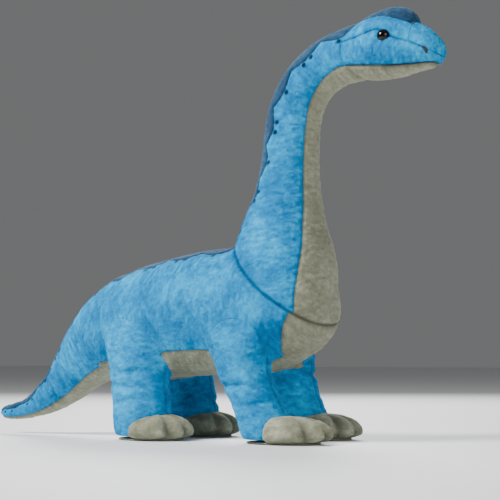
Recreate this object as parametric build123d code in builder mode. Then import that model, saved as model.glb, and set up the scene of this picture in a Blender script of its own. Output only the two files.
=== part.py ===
"""Long-necked stuffed dinosaur, standing on four legs.

Frame: +X towards the head, +Y to the animal's left, +Z up, origin on the ground in the middle
of the toy's bounding box.  Millimetres.

Every sewn part is a fabric skin around a core of stuffing.  The skin is cut into the panels that
the pattern has.  Three seams flex: the neck on the torso, the head on the neck and the tail on
the torso.  Each of them is a drum-shaped seat about the seam's own axis, so that the two sides
stay a hair apart while they turn.
"""

import os
from math import cos, pi, sin

from build123d import *

# ------------------------------------------------------------------ driving dimensions
SKIN = 3.0                # thickness of the plush fabric, pile included
SEAM = 0.5                # room between two panels of the same part, measured along the skin
FIT = 0.4                 # room between a skin and its stuffing
TURN_ROOM = 0.5           # room between two parts that turn on each other
SIDES = {"right": -1, "left": 1}

NECK_PIVOT = (110.0, 196.0)      # x, z of the axis that the neck bends about
NECK_SEAT_RADIUS = 76.0
HEAD_PIVOT = (191.0, 361.5)      # x, z of the axis that the head nods about
HEAD_SEAT_RADIUS = 33.0
TAIL_PIVOT_X = -146.0            # x of the upright axis that the tail sways about
TAIL_SEAT_RADIUS = 50.0

# Stations: x, z of the middle, half height, half width, half angle of the dorsal strip and
# half angle of the underside panel, both in degrees about the middle line.
TORSO = [
    (-140, 89, 26, 29, 26, 66),
    (-126, 98, 38, 41, 22, 64),
    (-106, 106, 47, 50, 18, 60),
    (-78, 112, 55, 58, 16, 56),
    (-40, 117, 59.5, 62, 16, 53),
    (0, 121.5, 62, 63, 16, 52),
    (36, 124, 62.5, 62, 17, 50),
    (70, 126, 61, 61, 18, 48),
    (100, 127, 54, 56, 20, 48),
    (121, 126, 40, 44, 22, 48),
    (132, 125, 24, 28, 24, 48),
    (137, 124, 7, 8, 24, 48),
]
TAIL = [
    (-253.2, 21, 5.5, 5.5, 58, 60),
    (-249, 21.5, 8.5, 8.5, 48, 60),
    (-240, 22, 10.5, 10.5, 40, 60),
    (-222, 24.5, 12, 12, 36, 60),
    (-196, 35, 17.5, 17.5, 32, 60),
    (-170, 52, 24, 24, 30, 62),
    (-146, 74, 32, 33, 28, 64),
    (-124, 92, 40.5, 42.5, 24, 64),
    (-100, 105, 48, 51, 18, 60),
    (-76, 112.5, 55, 58, 16, 56),
]
NECK = [
    (94, 104, 38, 56, 24, 50),
    (91, 126, 45, 57, 24, 50),
    (87, 152, 51, 53, 25, 46),
    (85.5, 180, 50, 47, 27, 40),
    (87, 205, 42, 41, 31, 36),
    (90, 230, 34, 34, 38, 34),
    (92, 256, 30, 30, 46, 34),
    (94, 283, 28.5, 28.5, 54, 34),
    (98, 309, 27.5, 27.5, 58, 37),
    (108, 331, 27, 27, 58, 44),
    (124, 347, 26.5, 26.5, 54, 54),
    (144, 357, 27, 27, 50, 60),
    (164, 361, 28, 27.5, 48, 62),
    (184, 362, 29.5, 29, 44, 60),
]
HEAD = [
    (152, 361, 27.5, 27, 48, 62),
    (164, 361.5, 29, 28.5, 46, 62),
    (178, 362.5, 30.5, 30, 42, 60),
    (194, 363, 31, 30, 38, 57),
    (212, 361.5, 28.5, 28, 32, 53),
    (226, 359, 24, 25, 30, 50),
    (238, 354.5, 18.5, 21, 30, 50),
    (247, 351, 13, 15.5, 30, 52),
    (253.5, 348.5, 6, 8, 30, 54),
]
BROW_ANGLE = 70           # the seam over the eye, from the top of the head
NOSE_START_X = 226.0      # the dorsal strip and the crown end here and the nose panel begins

# Legs: height of each section with its half length and half width, and how far the section has
# moved from the top of the leg (0) to the foot (1).
FRONT_SECTIONS = [
    (124, 26, 17, 0.0),
    (104, 32, 24, 0.0),
    (86, 31, 27, 0.02),
    (66, 27.5, 26, 0.12),
    (46, 26, 25.5, 0.4),
    (26, 27, 26.5, 0.72),
    (12, 29, 27.5, 0.93),
    (3.2, 29, 27, 1.0),
]
HIND_SECTIONS = [
    (124, 30, 17, 0.0),
    (104, 37, 25, 0.0),
    (84, 34, 28, 0.2),
    (60, 31, 28, 0.45),
    (38, 30.5, 28, 0.7),
    (18, 31, 28.5, 0.9),
    (3.2, 30, 28, 1.0),
]
# Each leg: sections, x and y of its top, x and y of its foot, and the length of its toe cap.
LEGS = {
    "front_right": (FRONT_SECTIONS, (60, -39), (95, -43), 46),
    "front_left": (FRONT_SECTIONS, (66, 39), (86, 43), 43),
    "hind_right": (HIND_SECTIONS, (-56, -39), (-45, -43), 38),
    "hind_left": (HIND_SECTIONS, (-57, 39), (-43, 43), 38),
}
SOLE_THICKNESS = 3.0
SOLE_MARGIN = 2.0
TOE_LOBES = 4
TOE_CAP_START = 12.0      # the middle of the toe cap, ahead of the middle of the ankle
TOE_CAP_BACK = 2.0        # the back edge of the toe cap, ahead of the middle of the ankle
TOE_CAP_HALF_WIDTH = 30.0
TOE_GROOVE = 0.055        # depth of the creases between the toes, as a share of the radius
# Height of each toe cap section and its size against the widest one.
TOE_SECTIONS = [(3.2, 0.93), (8, 1.0), (14, 0.99), (20, 0.9), (25, 0.7), (28, 0.42)]

EYE_X, EYE_Y, EYE_Z = 202.0, 29.2, 370.5
EYE_DIAMETER = 12.0
EYE_HEIGHT = 5.0
EYE_POST_DIAMETER = 4.0
EYE_POST_LENGTH = 10.0
EYE_WASHER_DIAMETER = 13.0
EYE_WASHER_THICKNESS = 1.6
EYE_WASHER_DEPTH = 5.8    # from the eye's rim in to the face of its washer
EYE_TILT = 12             # the eyes look this far up, in degrees
NOSTRIL_X, NOSTRIL_Y, NOSTRIL_Z = 240.5, 20.8, 356.5
NOSTRIL_SIZE = (7.0, 4.2)
NOSTRIL_THICKNESS = 1.2

# Crest on the crown: x, half width and height over the middle of the head.
CREST = [(178, 9, 33), (183, 15, 36), (190, 19, 37.5), (202, 21, 38.5), (211, 20, 37.5),
         (219, 16, 34), (225, 10, 28)]
CREST_MIDDLE_Z = 363.0

os.makedirs("parts", exist_ok=True)


# ------------------------------------------------------------------ sections and lofts
def section_planes(stations):
    """Planes square to the line through the stations: local x up the back, local y to the right."""
    centres = [Vector(station[0], 0, station[1]) for station in stations]
    planes = []
    for index, centre in enumerate(centres):
        ahead = centres[min(index + 1, len(centres) - 1)]
        behind = centres[max(index - 1, 0)]
        forward = (ahead - behind).normalized()
        planes.append(Plane(origin=centre, x_dir=(-forward.Z, 0, forward.X), z_dir=forward))
    return planes


def upright_planes(stations):
    """Planes square to X at the stations, for parts that lie level."""
    return [Plane(origin=(x, 0, z), x_dir=(0, 0, 1), z_dir=(1, 0, 0)) for x, z, *_ in stations]


def core_loft(stations, planes, inset):
    """A closed body through the ellipses of the stations, drawn in by inset."""
    with BuildPart() as body:
        for plane, (_, _, high, wide, *_) in zip(planes, stations):
            with BuildSketch(plane):
                Ellipse(high - inset, wide - inset)
        loft()
    return body.part


def panel_loft(stations, planes, side, start, end, ruled=False):
    """A skin panel between two angles from the back, which start and end give for a station."""
    with BuildPart() as panel:
        for plane, station in zip(planes, stations):
            high, wide = station[2], station[3]
            margin = 180 / pi * SEAM / 2 / min(high, wide)
            first, last = start(station) + margin, end(station) - margin
            turn = last - first
            begin = first if side < 0 else 360 - last
            with BuildSketch(plane):
                with BuildLine():
                    outer = EllipticalCenterArc((0, 0), high, wide, begin, arc_size=turn)
                    inner = EllipticalCenterArc(
                        (0, 0), high - SKIN, wide - SKIN, begin, arc_size=turn)
                    Line(outer @ 0, inner @ 0)
                    Line(outer @ 1, inner @ 1)
                make_face()
        loft(ruled=ruled)
    return panel.part


def strip_angle(station):
    return station[4]


def belly_angle(station):
    return 180 - station[5]


def brow_angle(station):
    return BROW_ANGLE


def full_strip(stations, planes, ruled=False):
    """The dorsal strip, which crosses the middle line."""
    return panel_loft(stations, planes, -1, lambda s: -strip_angle(s), strip_angle, ruled)


def full_underside(stations, planes):
    """The underside panel, which crosses the middle line."""
    return panel_loft(stations, planes, -1, belly_angle, lambda s: 360 - belly_angle(s))


# ------------------------------------------------------------------ seats of the three seams
def neck_zone(room):
    """Everything that belongs to the neck: a drum about the neck's axis and all above it."""
    with BuildPart() as zone:
        with Locations(Location((NECK_PIVOT[0], 0, NECK_PIVOT[1]), (90, 0, 0))):
            Cylinder(NECK_SEAT_RADIUS + room, 400)
        with Locations((NECK_PIVOT[0], 0, NECK_PIVOT[1] - room)):
            Box(500, 400, 400, align=(Align.CENTER, Align.CENTER, Align.MIN))
    return zone.part


def head_zone(room):
    """Everything that belongs to the head: a drum about the head's axis and all before it."""
    with BuildPart() as zone:
        with Locations(Location((HEAD_PIVOT[0], 0, HEAD_PIVOT[1]), (90, 0, 0))):
            Cylinder(HEAD_SEAT_RADIUS + room, 200)
        with Locations((HEAD_PIVOT[0] - room, 0, HEAD_PIVOT[1])):
            Box(200, 200, 200, align=(Align.MIN, Align.CENTER, Align.CENTER))
    return zone.part


def tail_zone(room):
    """Everything that belongs to the tail: an upright drum and all behind it."""
    with BuildPart() as zone:
        with Locations((TAIL_PIVOT_X, 0, 100)):
            Cylinder(TAIL_SEAT_RADIUS + room, 400)
        with Locations((TAIL_PIVOT_X + room, 0, 100)):
            Box(400, 400, 400, align=(Align.MAX, Align.CENTER, Align.CENTER))
    return zone.part


def write(piece, name):
    """Label a finished piece and write it."""
    piece.label = name
    export_step(piece, f"parts/{name}.step")


def write_trimmed(body, name, kept=None, removed=None):
    """Keep what is in one zone and outside others, and write it."""
    with BuildPart() as piece:
        add(body)
        if kept is not None:
            add(kept, mode=Mode.INTERSECT)
        for zone in removed or []:
            add(zone, mode=Mode.SUBTRACT)
    write(piece.part, name)


# ------------------------------------------------------------------ torso
torso_planes = upright_planes(TORSO)
torso_cuts = [neck_zone(TURN_ROOM), tail_zone(TURN_ROOM)]
write_trimmed(core_loft(TORSO, torso_planes, SKIN + FIT), "torso_stuffing", removed=torso_cuts)
write_trimmed(full_strip(TORSO, torso_planes), "back_strip", removed=torso_cuts)
write_trimmed(full_underside(TORSO, torso_planes), "belly_panel", removed=torso_cuts)
for side_name, side in SIDES.items():
    flank = panel_loft(TORSO, torso_planes, side, strip_angle, belly_angle)
    write_trimmed(flank, f"flank_{side_name}", removed=torso_cuts)

# ------------------------------------------------------------------ tail
tail_planes = section_planes(TAIL)
tail_kept = tail_zone(0)
tail_strip = full_strip(TAIL, tail_planes, ruled=True)
tail_core = core_loft(TAIL, tail_planes, SKIN + FIT)
write_trimmed(tail_core, "tail_stuffing", tail_kept, [tail_strip])
write_trimmed(tail_strip, "tail_strip", kept=tail_kept)
write_trimmed(full_underside(TAIL, tail_planes), "tail_underside", kept=tail_kept)
for side_name, side in SIDES.items():
    cover = panel_loft(TAIL, tail_planes, side, strip_angle, belly_angle)
    write_trimmed(cover, f"tail_cover_{side_name}", tail_kept, [tail_strip])

# ------------------------------------------------------------------ neck
neck_planes = section_planes(NECK)
neck_kept = neck_zone(0)
neck_cuts = [head_zone(TURN_ROOM)]
write_trimmed(core_loft(NECK, neck_planes, SKIN + FIT), "neck_stuffing", neck_kept, neck_cuts)
write_trimmed(full_strip(NECK, neck_planes), "neck_strip", neck_kept, neck_cuts)
write_trimmed(full_underside(NECK, neck_planes), "throat_panel", neck_kept, neck_cuts)
for side_name, side in SIDES.items():
    cover = panel_loft(NECK, neck_planes, side, strip_angle, belly_angle)
    write_trimmed(cover, f"neck_cover_{side_name}", neck_kept, neck_cuts)


# ------------------------------------------------------------------ head
def eye_plane(side):
    """The plane of an eye's rim, just off the skin, facing out and a little up."""
    tilt = EYE_TILT * pi / 180
    outward = Vector(0, side * cos(tilt), sin(tilt))
    return Plane(origin=(EYE_X, side * EYE_Y, EYE_Z), x_dir=(1, 0, 0), z_dir=outward)


def eye_plug(side, radius, start, length):
    """A round plug on an eye's axis, from start inward, measured from the rim."""
    with BuildPart() as plug:
        with BuildSketch(eye_plane(side).offset(-start)):
            Circle(radius)
        extrude(amount=-length)
    return plug.part


def nostril_plane(side):
    """The plane of a nostril on the muzzle, turned out, up and forward."""
    outward = Vector(0.45, side * 0.87, 0.16).normalized()
    rising = Vector(-0.6, 0, 0.8)
    along = rising - outward * outward.dot(rising)
    return Plane(origin=(NOSTRIL_X, side * NOSTRIL_Y, NOSTRIL_Z), x_dir=along, z_dir=outward)


head_planes = upright_planes(HEAD)
with BuildPart() as nose_zone:
    with Locations((NOSE_START_X, 0, 360)):
        Box(100, 100, 100, align=(Align.MIN, Align.CENTER, Align.CENTER))
head_kept = head_zone(0)

with BuildPart() as head_stuffing:
    add(core_loft(HEAD, head_planes, SKIN + FIT))
    add(head_kept, mode=Mode.INTERSECT)
    for side in SIDES.values():
        pocket = eye_plug(side, EYE_WASHER_DIAMETER / 2 + 1, 0, EYE_POST_LENGTH + 1)
        add(pocket, mode=Mode.SUBTRACT)
write(head_stuffing.part, "head_stuffing")

write_trimmed(full_strip(HEAD, head_planes), "head_strip", head_kept, [nose_zone.part])
write_trimmed(full_underside(HEAD, head_planes), "chin_panel", head_kept)
nose = panel_loft(HEAD, head_planes, -1, lambda s: -BROW_ANGLE, brow_angle)
write_trimmed(nose, "nose_panel", nose_zone.part)
for side_name, side in SIDES.items():
    eye_hole = eye_plug(side, EYE_POST_DIAMETER / 2 + 0.2, -4, 16)
    crown = panel_loft(HEAD, head_planes, side, strip_angle, brow_angle)
    write_trimmed(crown, f"crown_{side_name}", head_kept, [eye_hole, nose_zone.part])
    cheek = panel_loft(HEAD, head_planes, side, brow_angle, belly_angle)
    write_trimmed(cheek, f"cheek_{side_name}", head_kept, [eye_hole])

    with BuildPart() as eye:
        with BuildSketch(eye_plane(side)):
            Circle(EYE_DIAMETER / 2)
        extrude(amount=EYE_HEIGHT)
        outward_axis = Axis((0, 0, 0), eye_plane(side).z_dir)
        fillet(eye.edges().sort_by(outward_axis)[-1], EYE_HEIGHT - 0.5)
        add(eye_plug(side, EYE_POST_DIAMETER / 2, 0, EYE_POST_LENGTH))
    write(eye.part, f"eye_{side_name}")

    with BuildPart() as washer:
        add(eye_plug(side, EYE_WASHER_DIAMETER / 2, EYE_WASHER_DEPTH, EYE_WASHER_THICKNESS))
        add(eye_plug(side, EYE_POST_DIAMETER / 2 + 0.1, 0, EYE_POST_LENGTH),
            mode=Mode.SUBTRACT)
    write(washer.part, f"eye_washer_{side_name}")

    with BuildPart() as nostril:
        with BuildSketch(nostril_plane(side)):
            Ellipse(NOSTRIL_SIZE[0] / 2, NOSTRIL_SIZE[1] / 2)
        extrude(amount=NOSTRIL_THICKNESS)
    write(nostril.part, f"nostril_{side_name}")

with BuildPart() as crest:
    for x, half_width, top in CREST:
        with BuildSketch(Plane(origin=(x, 0, CREST_MIDDLE_Z), x_dir=(0, 0, 1), z_dir=(1, 0, 0))):
            Ellipse(top, half_width)
    loft()
    add(core_loft(HEAD, head_planes, -FIT), mode=Mode.SUBTRACT)
    split(bisect_by=Plane.XY.offset(CREST_MIDDLE_Z + 15), keep=Keep.TOP)
write(crest.part, "crest")


# ------------------------------------------------------------------ legs and feet
def leg_stations(sections, hip, foot):
    """Middle and half sizes of each level section of a leg."""
    rows = []
    for z, half_length, half_width, moved in sections:
        x = hip[0] + (foot[0] - hip[0]) * moved
        y = hip[1] + (foot[1] - hip[1]) * moved
        rows.append((x, y, z, half_length, half_width))
    return rows


def leg_core(rows, inset):
    """A closed body through the level ellipses of a leg."""
    with BuildPart() as body:
        for x, y, z, half_length, half_width in rows:
            with BuildSketch(Plane(origin=(x, y, z))):
                Ellipse(half_length - inset, half_width - inset)
        loft()
    return body.part


def leg_panel(rows, facing):
    """Half of a leg's skin, from the seam in front of it round to the seam behind it."""
    with BuildPart() as panel:
        for x, y, z, half_length, half_width in rows:
            margin = 180 / pi * SEAM / 2 / half_width
            begin = margin if facing > 0 else 180 + margin
            turn = 180 - 2 * margin
            with BuildSketch(Plane(origin=(x, y, z))):
                with BuildLine():
                    outer = EllipticalCenterArc(
                        (0, 0), half_length, half_width, begin, arc_size=turn)
                    inner = EllipticalCenterArc(
                        (0, 0), half_length - SKIN, half_width - SKIN, begin, arc_size=turn)
                    Line(outer @ 0, inner @ 0)
                    Line(outer @ 1, inner @ 1)
                make_face()
        loft()
    return panel.part


def toe_outline(reach, size):
    """Points round a toe cap: an ellipse with a crease between each two of its lobes."""
    points = []
    count = 8 * TOE_LOBES
    for index in range(count):
        angle = 2 * pi * index / count
        in_front = cos(angle) > 0
        crease = 1 - abs(sin(TOE_LOBES * angle)) if in_front else 0
        share = size * (1 - TOE_GROOVE * crease)
        points.append((reach * share * cos(angle), TOE_CAP_HALF_WIDTH * share * sin(angle)))
    return points


grown_torso = core_loft(TORSO, torso_planes, -FIT)
for leg_name, (sections, hip, foot, reach) in LEGS.items():
    side = SIDES[leg_name.split("_")[1]]
    rows = leg_stations(sections, hip, foot)
    write_trimmed(leg_core(rows, SKIN + FIT), f"{leg_name}_leg_stuffing", removed=[grown_torso])
    write_trimmed(leg_panel(rows, side), f"{leg_name}_leg_outer", removed=[grown_torso])
    write_trimmed(leg_panel(rows, -side), f"{leg_name}_leg_inner", removed=[grown_torso])

    with BuildPart() as toe_cap:
        for z, size in TOE_SECTIONS:
            with BuildSketch(Plane(origin=(foot[0] + TOE_CAP_START, foot[1], z))):
                with BuildLine():
                    Spline(*toe_outline(reach, size), periodic=True)
                make_face()
        loft()
        add(leg_core(rows, -FIT), mode=Mode.SUBTRACT)
        back_edge = Plane(origin=(foot[0] + TOE_CAP_BACK, 0, 0), z_dir=(1, 0, 0))
        split(bisect_by=back_edge, keep=Keep.TOP)
    write(toe_cap.part, f"{leg_name}_toe_cap")

    heel = foot[0] - rows[-1][3]
    toe = foot[0] + TOE_CAP_START + reach * TOE_SECTIONS[0][1]
    with BuildPart() as sole:
        with BuildSketch(Plane(origin=((heel + toe) / 2, foot[1], 0))):
            Ellipse((toe - heel) / 2 - SOLE_MARGIN, rows[-1][4] - SOLE_MARGIN)
        extrude(amount=SOLE_THICKNESS)
        fillet(sole.edges().group_by(Axis.Z)[-1], SOLE_THICKNESS / 3)
    write(sole.part, f"{leg_name}_sole")
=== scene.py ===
"""A long-necked plush dinosaur: fabric, stuffing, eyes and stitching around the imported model.

The skin is one smooth body, worked out from a few carried profiles, puffed by a cloth
simulation, and then cut along its seams into the panels that the pattern has.
Lengths are millimetres in the shape classes and metres in Blender.
"""

import logging
from dataclasses import dataclass, field
from enum import Enum
from typing import Any, Callable, Sequence

import bpy
import numpy as np
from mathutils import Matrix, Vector
from mathutils.bvhtree import BVHTree


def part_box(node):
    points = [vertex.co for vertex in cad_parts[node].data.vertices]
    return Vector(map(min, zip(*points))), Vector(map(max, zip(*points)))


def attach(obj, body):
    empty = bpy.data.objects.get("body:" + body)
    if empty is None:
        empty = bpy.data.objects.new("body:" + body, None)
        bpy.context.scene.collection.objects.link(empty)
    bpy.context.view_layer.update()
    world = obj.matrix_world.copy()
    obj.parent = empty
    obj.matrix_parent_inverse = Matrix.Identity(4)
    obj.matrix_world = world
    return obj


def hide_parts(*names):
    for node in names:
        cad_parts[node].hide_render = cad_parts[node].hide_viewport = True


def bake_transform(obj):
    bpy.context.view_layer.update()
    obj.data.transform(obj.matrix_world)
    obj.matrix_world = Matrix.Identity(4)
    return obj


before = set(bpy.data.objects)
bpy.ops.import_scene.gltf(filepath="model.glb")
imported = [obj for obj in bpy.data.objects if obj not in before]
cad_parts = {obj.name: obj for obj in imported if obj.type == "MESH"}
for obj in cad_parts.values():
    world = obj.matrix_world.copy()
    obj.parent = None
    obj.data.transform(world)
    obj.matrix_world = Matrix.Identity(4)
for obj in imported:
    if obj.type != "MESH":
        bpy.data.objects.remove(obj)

LOG = logging.getLogger("plush")
MM = 0.001
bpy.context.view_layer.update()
Array = np.ndarray


class Side(Enum):
    """The animal's own sides, with the sign of y on each."""

    RIGHT = -1
    LEFT = 1

    @property
    def word(self) -> str:
        """The side's name as it stands in piece names."""
        return self.name.lower()


# ------------------------------------------------------------------ numbers
def smooth_step(low: float, high: float, value: Array) -> Array:
    """Rise from 0 at low to 1 at high along 3t^2 - 2t^3."""
    t = np.clip((value - low) / (high - low), 0.0, 1.0)
    return t * t * (3.0 - 2.0 * t)


def bell(distance: Array, width: float) -> Array:
    """A bell of height 1, exp(-(distance / width)^2)."""
    return np.exp(-np.square(distance / width))


def hash_unit(cells: Array, seed: int) -> Array:
    """Give each integer cell a repeatable number from -1 to 1 by mixing its coordinates."""
    x, y, z = (cells[..., i].astype(np.uint32) for i in range(3))
    h = x * np.uint32(73856093) ^ y * np.uint32(19349663) ^ z * np.uint32(83492791)
    h ^= np.uint32((seed * 2654435761) % 4294967296)
    h = (h ^ (h >> np.uint32(15))) * np.uint32(2246822519)
    h = (h ^ (h >> np.uint32(13))) * np.uint32(3266489917)
    h ^= h >> np.uint32(16)
    return h.astype(np.float64) / 2147483647.5 - 1.0


def noise(points: Array, size: float, seed: int) -> Array:
    """Smooth noise: hashed values on a cubic lattice, joined by the smooth step.

    Args:
        points: places, one row each.
        size: the lattice spacing, in the unit of the points.
        seed: which noise it is.

    Returns:
        One value from -1 to 1 for each point.
    """
    q = points / size + 31.7
    base = np.floor(q)
    t = q - base
    t = t * t * (3.0 - 2.0 * t)
    cell = base.astype(np.int64)
    total = np.zeros(len(points))
    for corner in np.ndindex(2, 2, 2):
        step = np.array(corner)
        weight = np.prod(np.where(step == 1, t, 1.0 - t), axis=1)
        total += weight * hash_unit(cell + step, seed)
    return total


def layered_noise(points: Array, size: float, seed: int, layers: int = 3) -> Array:
    """Noise of halving size and strength, added up and kept near -1 to 1."""
    total = np.zeros(len(points))
    for layer in range(layers):
        total += noise(points, size / 2.0**layer, seed + layer) * 0.6**layer
    return total / 1.6


def eased_rows(rows: Array, count: int) -> Array:
    """Carry rows of numbers along their own path as a cubic Hermite curve.

    Args:
        rows: stations, whose first two columns are the path.
        count: how many rows to give back, evenly spaced along the path.

    Returns:
        The rows of the curve.
    """
    steps = np.linalg.norm(np.diff(rows[:, :2], axis=0), axis=1)
    at = np.concatenate([[0.0], np.cumsum(steps)])
    slope = np.gradient(rows, at, axis=0)
    where = np.linspace(0.0, at[-1], count)
    index = np.clip(np.searchsorted(at, where, side="right") - 1, 0, len(at) - 2)
    span = (at[index + 1] - at[index])[:, None]
    t = (where - at[index])[:, None] / span
    return ((2 * t**3 - 3 * t**2 + 1) * rows[index] + (t**3 - 2 * t**2 + t) * span * slope[index]
            + (3 * t**2 - 2 * t**3) * rows[index + 1] + (t**3 - t**2) * span * slope[index + 1])


def distance_to_path(points: Array, path: Array) -> Array:
    """The distance from each point to the nearest of a path's straight runs."""
    best = np.full(len(points), np.inf)
    for start, end in zip(path[:-1], path[1:]):
        run = end - start
        t = np.clip((points - start) @ run / (run @ run), 0.0, 1.0)
        best = np.minimum(best, np.linalg.norm(points - start - t[:, None] * run, axis=1))
    return best


# ------------------------------------------------------------------ surfaces
@dataclass
class Surface:
    """A mesh held as arrays: places in millimetres, four-cornered faces, and values on them."""

    points: Array
    faces: Array
    values: dict[str, Array] = field(default_factory=dict)
    chart: Array | None = None

    def edges(self) -> Array:
        """Each face's four sides, as pairs of points."""
        return np.concatenate([self.faces[:, [i, (i + 1) % 4]] for i in range(4)])

    def normals(self) -> Array:
        """Outward directions at the points, added up from the faces' diagonals."""
        p = self.points[self.faces]
        face = np.cross(p[:, 2] - p[:, 0], p[:, 3] - p[:, 1])
        total = np.zeros_like(self.points)
        for i in range(4):
            np.add.at(total, self.faces[:, i], face)
        return total / np.maximum(np.linalg.norm(total, axis=1), 1e-12)[:, None]

    def part(self, chosen: Array) -> "Surface":
        """The faces that are chosen, with only the points that they use."""
        used, fresh = np.unique(self.faces[chosen], return_inverse=True)
        values = {name: value[used] for name, value in self.values.items()}
        chart = None if self.chart is None else self.chart[used]
        return Surface(self.points[used], fresh.reshape(-1, 4), values, chart)

    def to_object(self, name: str) -> bpy.types.Object:
        """Put the surface into a new Blender object, in metres, with its values and chart."""
        mesh = bpy.data.meshes.new(name)
        mesh.vertices.add(len(self.points))
        mesh.vertices.foreach_set("co", (self.points * MM).ravel())
        real = self.faces.copy()
        corner = np.ones_like(real, dtype=bool)
        corner[:, 3] = real[:, 3] != real[:, 0]
        counts = corner.sum(axis=1)
        loops = real[corner]
        mesh.loops.add(len(loops))
        mesh.loops.foreach_set("vertex_index", loops.astype(np.int32))
        mesh.polygons.add(len(real))
        starts = np.concatenate([[0], np.cumsum(counts)[:-1]])
        mesh.polygons.foreach_set("loop_start", starts.astype(np.int32))
        mesh.polygons.foreach_set("loop_total", counts.astype(np.int32))
        mesh.update(calc_edges=True)
        mesh.polygons.foreach_set("use_smooth", np.ones(len(real), dtype=bool))
        for label, value in self.values.items():
            mesh.attributes.new(label, "FLOAT", "POINT").data.foreach_set(
                "value", value.astype(np.float32))
        if self.chart is not None:
            layer = mesh.uv_layers.new(name="Pile")
            layer.data.foreach_set("uv", (self.chart[loops] * MM).astype(np.float32).ravel())
        mesh.validate()
        made = bpy.data.objects.new(name, mesh)
        bpy.context.scene.collection.objects.link(made)
        return made


def read_surface(thing: bpy.types.Object) -> Surface:
    """Read an object's mesh, with its modifiers, back into arrays of quads and triangles."""
    depsgraph = bpy.context.evaluated_depsgraph_get()
    mesh = thing.evaluated_get(depsgraph).to_mesh()
    points = np.empty(len(mesh.vertices) * 3)
    mesh.vertices.foreach_get("co", points)
    totals = np.empty(len(mesh.polygons), dtype=np.int32)
    mesh.polygons.foreach_get("loop_total", totals)
    loops = np.empty(len(mesh.loops), dtype=np.int32)
    mesh.loops.foreach_get("vertex_index", loops)
    starts = np.concatenate([[0], np.cumsum(totals)[:-1]])
    faces = np.stack([loops[starts + np.minimum(i, totals - 1) * (i < totals)] for i in range(4)],
                     axis=1)
    thing.evaluated_get(depsgraph).to_mesh_clear()
    return Surface(points.reshape(-1, 3) / MM, faces)


def remove(thing: bpy.types.Object) -> None:
    """Delete a helper object and its mesh."""
    mesh = thing.data
    bpy.data.objects.remove(thing)
    bpy.data.meshes.remove(mesh)


def ring_surface(rings: Array, ends: bool = True) -> Surface:
    """Join rings of points into a tube, closed at both ends by a pole.

    Args:
        rings: an array of rings, each a loop of places.
        ends: whether the ends are closed.

    Returns:
        The surface, with triangles at the poles held as quads whose last corner repeats.
    """
    count, around = rings.shape[:2]
    i, j = np.meshgrid(np.arange(count - 1), np.arange(around), indexing="ij")
    k = (j + 1) % around
    faces = np.stack([i * around + j, i * around + k, (i + 1) * around + k, (i + 1) * around + j],
                     axis=-1).reshape(-1, 4)
    points = rings.reshape(-1, 3)
    if ends:
        first, last = len(points), len(points) + 1
        points = np.concatenate([points, [rings[0].mean(axis=0)], [rings[-1].mean(axis=0)]])
        j = np.arange(around)
        k = (j + 1) % around
        top = (count - 1) * around
        cap_a = np.stack([np.full(around, first), k, j, np.full(around, first)], axis=1)
        cap_b = np.stack([np.full(around, last), top + j, top + k, np.full(around, last)], axis=1)
        faces = np.concatenate([faces, cap_a, cap_b])
    return Surface(points, faces)


def merged(surfaces: Sequence[Surface]) -> Surface:
    """Lay several surfaces into one set of arrays."""
    offsets = np.cumsum([0] + [len(s.points) for s in surfaces[:-1]])
    return Surface(np.concatenate([s.points for s in surfaces]),
                   np.concatenate([s.faces + o for s, o in zip(surfaces, offsets)]))


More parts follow.
